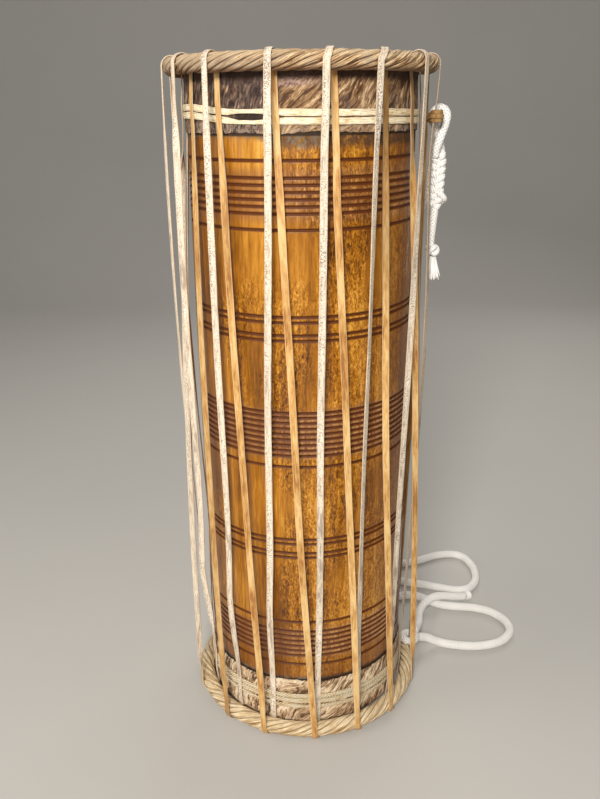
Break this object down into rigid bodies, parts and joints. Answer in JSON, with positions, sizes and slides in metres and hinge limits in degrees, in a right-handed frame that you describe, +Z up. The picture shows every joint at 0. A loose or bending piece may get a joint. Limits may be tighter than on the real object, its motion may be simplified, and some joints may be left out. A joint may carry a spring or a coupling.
{
  "type": "yak bera",
  "caption": "Long two-headed barrel drum in varnished wood, thong-laced between twisted hide hoops, standing on one end with a knotted cotton carrying rope looped beside it.",
  "frame": {"origin": "on the drum's axis, at the surface that the drum stands on", "axes": "+Z up along the drum's axis; -Y faces the picture's camera; the carrying rope hangs on the +X side"},
  "size_m": [0.4028, 0.3871, 0.7],
  "materials": {
    "shell_wood": "honey-amber gloss varnish over turned grooves darkened with stain",
    "head_hide": "mottled raw hide with traces of hair",
    "hoop_hide": "twisted raw hide, matt, pale on its ridges",
    "binding_fibre": "pale twisted plant fibre",
    "lacing_thong": "cream hide thong, hair side out on the way down and tan flesh side out on the way up",
    "rope_cotton": "soft white braided cotton"
  },
  "bodies": {
    "root": {"drum_shell": "shell_wood", "top_head": "head_hide", "bottom_head": "head_hide", "top_hoop": "hoop_hide", "bottom_hoop": "hoop_hide", "top_binding": "binding_fibre", "bottom_binding": "binding_fibre", "thong_tie": "lacing_thong", "lace_01": "lacing_thong", "lace_02": "lacing_thong", "lace_03": "lacing_thong", "lace_04": "lacing_thong", "lace_05": "lacing_thong", "lace_06": "lacing_thong", "lace_07": "lacing_thong", "lace_08": "lacing_thong", "lace_09": "lacing_thong", "lace_10": "lacing_thong", "lace_11": "lacing_thong", "lace_12": "lacing_thong", "lace_13": "lacing_thong", "lace_14": "lacing_thong", "lace_15": "lacing_thong", "rope_eye": "rope_cotton", "rope_sinnet": "rope_cotton", "rope_end_strand": "rope_cotton", "rope_stopper_knot": "rope_cotton", "rope_tassel": "rope_cotton", "rope_hanging": "rope_cotton", "rope_hitch": "rope_cotton", "rope_tail": "rope_cotton", "rope_end_whipping": "rope_cotton"}
  },
  "joints": []
}
